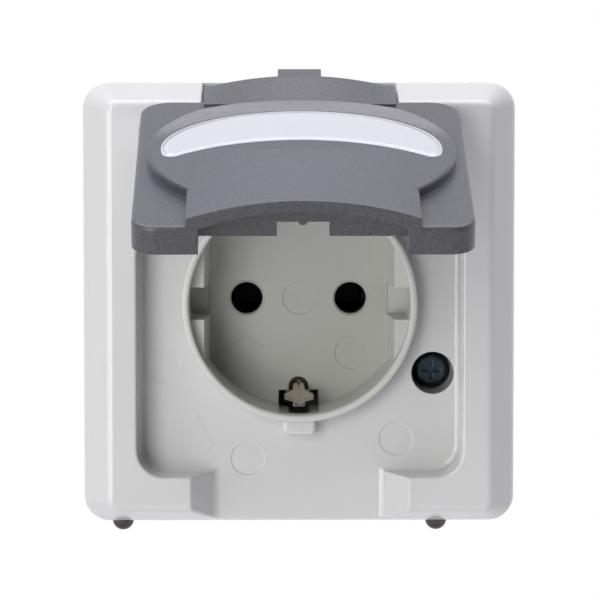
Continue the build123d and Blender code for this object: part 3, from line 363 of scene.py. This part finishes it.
# %% Put each finish on its nodes
FINISHES = {
    cover_plastic: ["cover_frame"],
    collar_plastic: ["socket_collar"],
    floor_plastic: ["contact_face"],
    lid_plastic: ["lid_shell"],
    window_plastic: ["label_window"],
    card_paper: ["label_card"],
    base_plastic: ["contact_base", "base_rear_cover"],
    plate_plastic: ["seal_plate"],
    seal_rubber: ["collar_seal", "wall_gasket", "lid_seal", "screw_washers"],
    zinc_steel: ["support_ring", "ring_rivets", "rear_cover_screws", "terminal_screws", "earth_screw",
                 "hinge_pin"],
    blued_steel: ["cover_screws"],
    oxide_steel: ["locking_screws"],
    nickel_strip: ["earth_strip", "detent_spring"],
    brass_painted_dark: ["line_contact_left", "line_contact_right"],
}
for finish, names in FINISHES.items():
    for name in names:
        nodes[name].data.materials.clear()
        nodes[name].data.materials.append(finish)
undressed = sorted(set(nodes) - {name for names in FINISHES.values() for name in names})
print("nodes without a finish:", undressed)

# %% [markdown]
# ## A white lining for the label's pocket
# On the real lid the card fills its pocket and turns up at the edges, so the window's rim looks pale too. The
# lid's faces round the window, found by their distance from it, get the card's finish as a second material
# slot; a separate liner would be one more shape to fit. Faces on the lid's outer side lie higher than the
# window's middle and are left out.

# %% Line the pocket
# How near the pocket is to the window, how far above its middle the outer side starts, what is one spot
NEAR, OUTER_SIDE, SAME_SPOT = 0.45 * MM, 0.2 * MM, 0.001 * MM

window_skin = bmesh.new()
window_skin.from_mesh(nodes["label_window"].data)
bmesh.ops.remove_doubles(window_skin, verts=window_skin.verts, dist=SAME_SPOT)
# The window's widest face is its flat front or back; the way out of the lid is upwards
facing = max(window_skin.faces, key=lambda face: face.calc_area()).normal
facing = facing if facing.z > 0 else -facing
window_middle = sum((v.co for v in window_skin.verts), Vector()) / len(window_skin.verts)
nearby = BVHTree.FromBMesh(window_skin)
lid_mesh = nodes["lid_shell"].data
lid_mesh.materials.append(card_paper)
lining_slot = len(lid_mesh.materials) - 1
lined = 0
for face in lid_mesh.polygons:
    spots = [face.center] + [lid_mesh.vertices[i].co for i in face.vertices]
    inside = (face.center - window_middle).dot(facing) < OUTER_SIDE
    if inside and all(nearby.find_nearest(spot, NEAR)[0] for spot in spots):
        face.material_index = lining_slot
        lined += 1
print("pocket faces lined:", lined)

# %% [markdown]
# ## Fine lines of the moulds
# A moulding tool leaves hairlines: thin beads where the well's floor meets its wall and where the collar
# leaves the cover, the outlines of exchangeable inserts in the floor and a witness line on the cover. They
# are finer than the CAD needs, so they are added here as round lines sunk in the surface, each of the plastic
# it lies on. A curve with a bevel draws such a line from a few points, and its mesh is then kept.

# %% Tools for mould lines
BEVEL_STEPS = 2


def mould_line(name, points, thickness, finish, body="socket", closed=False):
    """A round line through points in millimetres, open or closed to a ring, riding on one body."""
    curve = bpy.data.curves.new(name, "CURVE")
    curve.dimensions = "3D"
    curve.bevel_depth = thickness / 2 * MM
    curve.bevel_resolution = BEVEL_STEPS
    curve.use_fill_caps = True
    path = curve.splines.new("POLY")
    path.use_cyclic_u = closed
    path.points.add(len(points) - 1)
    for spot, point in zip(path.points, points):
        spot.co = (*(value * MM for value in point), 1.0)
    drawn = bpy.data.objects.new(name + "_curve", curve)
    line = bpy.data.objects.new(name, bpy.data.meshes.new_from_object(drawn))
    bpy.data.objects.remove(drawn)
    line.data.materials.append(finish)
    bpy.context.scene.collection.objects.link(line)
    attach(line, body)
    return line


def circle(x, y, radius, steps=120):
    """Points round a circle in the plane of the wall."""
    turns = [math.radians(360 * i / steps) for i in range(steps)]
    return [(x + radius * math.sin(turn), y, radius * math.cos(turn)) for turn in turns]


print("mould lines can be drawn")

# %% Beads and rings
WELL_RADIUS, WELL_SIDE, WELL_FLOOR_Y = 19.77, 16.15, 2.5
RECESS_FLOOR_Y, COLLAR_RADIUS = -10.5, 21.12
PIN_X, PIN_RING_RADIUS, PIN_RING_SUNK = 9.5, 3.3, 0.06
# How thick the lines are
FLOOR_BEAD, COLLAR_BEAD, PIN_RING = 0.36, 0.3, 0.26
# The floor's bead runs this many degrees to each side of the top and stops short of the lower spring
BEAD_TURN = 169


def well_edge(turn_end, steps=180):
    """Points along the floor's round outline, cut flat where the guide blocks stand."""
    turns = [math.radians(-turn_end + 2 * turn_end * i / steps) for i in range(steps + 1)]
    across = [max(-WELL_SIDE, min(WELL_SIDE, WELL_RADIUS * math.sin(turn))) for turn in turns]
    return [(x, WELL_FLOOR_Y, WELL_RADIUS * math.cos(turn)) for x, turn in zip(across, turns)]


mould_line("floor_bead", well_edge(BEAD_TURN), FLOOR_BEAD, floor_plastic)
mould_line("collar_bead", circle(0, RECESS_FLOOR_Y, COLLAR_RADIUS), COLLAR_BEAD, cover_plastic, closed=True)
for name, x in (("pin_ring_left", -PIN_X), ("pin_ring_right", PIN_X)):
    ring_points = circle(x, WELL_FLOOR_Y + PIN_RING_SUNK, PIN_RING_RADIUS)
    mould_line(name, ring_points, PIN_RING, floor_plastic, closed=True)
print("added two beads and two pin rings")

# %% Insert lines and witness line
HAIRLINE, SUNK = 0.3, 0.1
INSERT_LEFT, INSERT_RIGHT, INSERT_ENDS = -5.5, 13.0, (5.7, 14.5)
WITNESS_CORNERS = ((-18.8, -19.5), (-15.4, -25.6), (-17.3, -27.2))

for name, x in (("insert_line_left", INSERT_LEFT), ("insert_line_right", INSERT_RIGHT)):
    mould_line(name, [(x, WELL_FLOOR_Y + SUNK, z) for z in INSERT_ENDS], HAIRLINE, floor_plastic)
witness = [(x, RECESS_FLOOR_Y + SUNK, z) for x, z in WITNESS_CORNERS]
mould_line("witness_line", witness, HAIRLINE, cover_plastic)
print("added two insert lines and a witness line")

# %% [markdown]
# ## The window's pale rim
# The moulded edge of a clear window scatters some light and looks white, and the pale line drawn here also
# stands in as a painted highlight for the shine along the bevel. Its outline is the ring of edges where the
# window's side wall meets its bevel, so the line is drawn along those edges and rides on the lid.

# %% Window rim
RIM_LIFT, RIM_THICKNESS = 0.12, 0.4
# How much a face looks out of the lid: a side wall less than the first, a bevel between the two
WALL_LOOK, FRONT_LOOK = 0.1, 0.99

look = {face: abs(face.normal.dot(facing)) for face in window_skin.faces}
rim = [edge for edge in window_skin.edges if min(look[face] for face in edge.link_faces) < WALL_LOOK
       and WALL_LOOK < max(look[face] for face in edge.link_faces) < FRONT_LOOK]
outline = list(rim.pop().verts)
while len(rim) > 1:
    step = next(edge for edge in rim if outline[-1] in edge.verts)
    rim.remove(step)
    outline.append(step.other_vert(outline[-1]))
rim_points = [spot.co / MM + facing * RIM_LIFT for spot in outline]
mould_line("window_rim", rim_points, RIM_THICKNESS, rim_highlight_plastic, "lid", closed=True)
print("window rim through", len(outline), "points")
window_skin.free()

# %% [markdown]
# ## Ribs beside the hinge
# Towards the hinge the real recess is a little narrower, so the open lid hides its sides. A rib on each side
# closes that slit. It starts inside the cover, comes flush with its face and has the same broken edge, and it
# stays clear of the lid's side at every angle. It tapers away downwards, so it is lofted: a mesh is made
# straight from a few sections with the same number of corners.

# %% Recess ribs
RECESS_SIDE, FACE_OUT, RIB_FOOT = 29.1, 18.0, 10.0
# The root lies inside the cover, the front a hair proud of it, and the free edge is broken in two steps
RIB_WIDTH, RIB_ROOT, ROOT_SUNK = 0.9, 1.4, 0.02
FLAT_START, PROUD, EDGE_BREAK, EDGE_INSET = 0.3, 0.005, 0.4, 0.12
# Height, width and how far the section stays below the cover's face, from the hinge downwards
RIB_STEPS = (
    (34.2, RIB_WIDTH, 0.12),
    (33.2, RIB_WIDTH, 0.0),
    (20.0, RIB_WIDTH, 0.0),
    (10.0, 0.2, 0.0),
    (9.0, 0.0, 0.4),
)


def lofted(name, sections, finish):
    """A closed solid through sections in millimetres that have the same number of corners."""
    ring = len(sections[0])
    spots = [[value * MM for value in corner] for section in sections for corner in section]
    walls = [(start + j, start + (j + 1) % ring, start + ring + (j + 1) % ring, start + ring + j)
             for start in range(0, len(spots) - ring, ring) for j in range(ring)]
    caps = [tuple(range(ring))[::-1], tuple(range(len(spots) - ring, len(spots)))]
    solid = bpy.data.objects.new(name, bpy.data.meshes.new(name))
    solid.data.from_pydata(spots, [], walls + caps)
    solid.data.materials.append(finish)
    bpy.context.scene.collection.objects.link(solid)
    return solid


def rib_section(width, sunk):
    """(inwards, outwards) corners of a rib's section, measured from the recess's edge and the wall."""
    front = FACE_OUT - sunk
    return [(-RIB_ROOT, front - ROOT_SUNK), (-FLAT_START, front + PROUD), (width - EDGE_BREAK, front + PROUD),
            (width - EDGE_INSET, front - EDGE_INSET), (width, front - EDGE_BREAK), (width, RIB_FOOT),
            (-RIB_ROOT, RIB_FOOT)]


for name, side in (("recess_rib_left", -1), ("recess_rib_right", 1)):
    sections = [[(side * (RECESS_SIDE - inwards), -outwards, z)
                 for inwards, outwards in rib_section(width, sunk)] for z, width, sunk in RIB_STEPS]
    rib = lofted(name, sections, cover_plastic)
    if side < 0:
        rib.data.flip_normals()
    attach(rib, "socket")
print("added two recess ribs")

# %% [markdown]
# ## The dark slot behind the earthing spring
# Below the spring the collar's wall is open, and the black contact base shows through. A thin black strip in
# the wall's groove gives that dark middle: partly the base's own black, partly painted shade for the deep
# opening. It follows the groove's curve, so it is lofted across the groove.

# %% Slot lining, a strip of painted shade
SLOT_HALF_WIDTH, SLOT_STEPS = 1.85, 4
SLOT_INNER, SLOT_OUTER = 20.35, 20.55
SLOT_BACK_Y, SLOT_FRONT_Y = 7.8, -11.45

corners = [(SLOT_BACK_Y, SLOT_INNER), (SLOT_FRONT_Y, SLOT_INNER),
           (SLOT_FRONT_Y, SLOT_OUTER), (SLOT_BACK_Y, SLOT_OUTER)]
across = [SLOT_HALF_WIDTH * step / SLOT_STEPS for step in range(-SLOT_STEPS, SLOT_STEPS + 1)]
sections = [[(x, y, -math.sqrt(radius ** 2 - x ** 2)) for y, radius in corners] for x in across]
lining = lofted("slot_shade_strip", sections, base_plastic)
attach(lining, "socket")
print("slot lining with", len(lining.data.polygons), "faces")

# %% [markdown]
# ## Surroundings
# Behind the object hangs a white backdrop, and in front of it lies the dim room where the photographer
# stands. Camera rays always meet white. Mirror and glass rays meet white behind and dimness in front, so a
# face that looks at the camera stays clear while a leaning one picks up a sheen. All other light comes from
# the lamps: a world that lit everything would flatten the shadows.

# %% White backdrop
WHITE = (1, 1, 1, 1)
DIM_ROOM = 0.12
# The room turns into the backdrop between these two directions, from -1 in front to 1 behind
ROOM_END, BACKDROP_START = -0.45, 0.15


def white_backdrop():
    """A world that is white to the camera and half dim to mirrors."""
    world = bpy.data.worlds.new("white_backdrop")
    world.use_nodes = True
    sky = world.node_tree
    sky.nodes.clear()
    ray = add_node(sky, "ShaderNodeLightPath")
    mirrored = add_node(sky, "ShaderNodeMath", operation="MAXIMUM",
                        links={0: ray.outputs["Is Glossy Ray"], 1: ray.outputs["Is Transmission Ray"]})
    place = add_node(sky, "ShaderNodeTexCoord")
    axes = add_node(sky, "ShaderNodeSeparateXYZ", links={0: place.outputs["Generated"]})
    levels = {"From Min": ROOM_END, "From Max": BACKDROP_START, "To Min": DIM_ROOM, "To Max": 1.0}
    room = add_node(sky, "ShaderNodeMapRange", levels, {"Value": axes.outputs["Y"]},
                    interpolation_type="SMOOTHSTEP")
    sheen = add_node(sky, "ShaderNodeMath", operation="MULTIPLY",
                     links={0: mirrored.outputs[0], 1: room.outputs["Result"]})
    level = add_node(sky, "ShaderNodeMath", operation="MAXIMUM",
                     links={0: ray.outputs["Is Camera Ray"], 1: sheen.outputs[0]})
    backdrop = add_node(sky, "ShaderNodeBackground", {"Color": WHITE}, {"Strength": level.outputs[0]})
    add_node(sky, "ShaderNodeOutputWorld", links={"Surface": backdrop.outputs["Background"]})
    return world


bpy.context.scene.world = white_backdrop()
print("world is", bpy.context.scene.world.name)

# %% [markdown]
# ## The floor
# A round sheet of pale paper lies below the object and takes its shadow. Towards its rim it fades into the
# white backdrop, so that no horizon shows: camera, mirror and glass rays see more and more plain white there,
# while the light that the paper throws back stays that of paper.

# %% Pale floor
FLOOR_DROP, FLOOR_RADIUS, FLOOR_CORNERS = 90 * MM, 420 * MM, 96
FADE_START, FADE_END = 0.3 * FLOOR_RADIUS, 0.95 * FLOOR_RADIUS


def fading_paper():
    # Matt white paper that turns into plain white towards the sheet's rim
    material, tree, shader, place = start_material("studio_paper_matt_white", {
        "Base Color": linear("#F2F2F2"), "Roughness": 0.9})
    reach = add_node(tree, "ShaderNodeVectorMath", links={0: place}, operation="LENGTH")
    fade = add_node(tree, "ShaderNodeMapRange", {"From Min": FADE_START, "From Max": FADE_END},
                    {"Value": reach.outputs["Value"]}, interpolation_type="SMOOTHSTEP")
    ray = add_node(tree, "ShaderNodeLightPath")
    seen = ray.outputs["Is Camera Ray"]
    for kind in ("Is Glossy Ray", "Is Transmission Ray"):
        seen = add_node(tree, "ShaderNodeMath", links={0: seen, 1: ray.outputs[kind]},
                        operation="MAXIMUM").outputs[0]
    share = add_node(tree, "ShaderNodeMath", links={0: seen, 1: fade.outputs["Result"]}, operation="MULTIPLY")
    white = add_node(tree, "ShaderNodeEmission", {"Color": WHITE, "Strength": 1.0})
    blend = add_node(tree, "ShaderNodeMixShader", links={
        0: share.outputs[0], 1: shader.outputs["BSDF"], 2: white.outputs["Emission"]})
    tree.links.new(blend.outputs["Shader"], tree.nodes["Material Output"].inputs["Surface"])
    return material


bpy.ops.mesh.primitive_circle_add(vertices=FLOOR_CORNERS, radius=FLOOR_RADIUS, fill_type="NGON",
                                  location=(0, 0, cad_box[0][2] - FLOOR_DROP))
floor = bpy.context.object
floor.name = "studio_floor"
floor.data.materials.append(fading_paper())
print("floor at", round(floor.location.z, 4))

# %% [markdown]
# ## Soft studio light
# The shadows give the lamps away. The lid's upper side and the frame's upper edge are the brightest, so a
# wide softbox hangs overhead. The left wall of the well throws a soft shadow to the right, and the floor
# right under the lid is still bright: a tall softbox stands about twenty-four degrees left of the camera, at
# its height. A low, wide strip further left draws the bright band along the frame's rounded left edge, and a
# weak strip at the right lifts the leaning side there.

# %% Lamps
LAMP_AIM = Vector((0, -15 * MM, 0))


def soft_lamp(name, place, width, height, watts, tint):
    """A rectangular area lamp that looks at the object; places and sizes are in metres."""
    lamp = bpy.data.lights.new(name, "AREA")
    lamp.shape = "RECTANGLE"
    lamp.size = width
    lamp.size_y = height
    lamp.energy = watts
    lamp.color = linear(tint)[:3]
    holder = bpy.data.objects.new(name, lamp)
    bpy.context.scene.collection.objects.link(holder)
    holder.location = place
    holder.rotation_euler = (LAMP_AIM - Vector(place)).to_track_quat("-Z", "Y").to_euler()
    return holder


soft_lamp("overhead_softbox", (0.0, -0.10, 0.90), width=1.50, height=1.00, watts=14.0, tint="#F7F7FF")
soft_lamp("camera_left_softbox", (-0.41, -0.912, 0.09), width=0.42, height=1.20, watts=8.0, tint="#FFFFFF")
soft_lamp("left_low_strip", (-0.84, -0.56, -0.07), width=0.62, height=0.22, watts=1.8, tint="#FFFFFF")
soft_lamp("right_strip", (0.95, -0.25, 0.10), width=0.40, height=1.00, watts=0.6, tint="#FBFBFF")
print("four lamps")

# %% [markdown]
# ## The camera
# The photograph was taken from about sixty centimetres with a long lens, a little above the middle and almost
# straight on. The distance follows from how the open lid grows towards the viewer.

# %% Camera
AIM = Vector((0.04, -18.0, 1.12)) * MM
DISTANCE = 604 * MM
ELEVATION, AZIMUTH = math.radians(4.19), math.radians(-0.65)
# Both in millimetres, as Blender takes them
LENS, SENSOR_WIDTH = 204.1, 36
CLIP_START = 0.01

direction = Vector((math.sin(AZIMUTH) * math.cos(ELEVATION), -math.cos(AZIMUTH) * math.cos(ELEVATION),
                    math.sin(ELEVATION)))
camera_data = bpy.data.cameras.new("camera")
camera_data.lens = LENS
camera_data.sensor_width = SENSOR_WIDTH
camera_data.clip_start = CLIP_START
camera = bpy.data.objects.new("camera", camera_data)
bpy.context.scene.collection.objects.link(camera)
camera.location = AIM + direction * DISTANCE
camera.rotation_euler = (-direction).to_track_quat("-Z", "Y").to_euler()
bpy.context.scene.camera = camera
bpy.context.scene.view_settings.view_transform = "Standard"
print("camera at", [round(v / MM, 1) for v in camera.location])
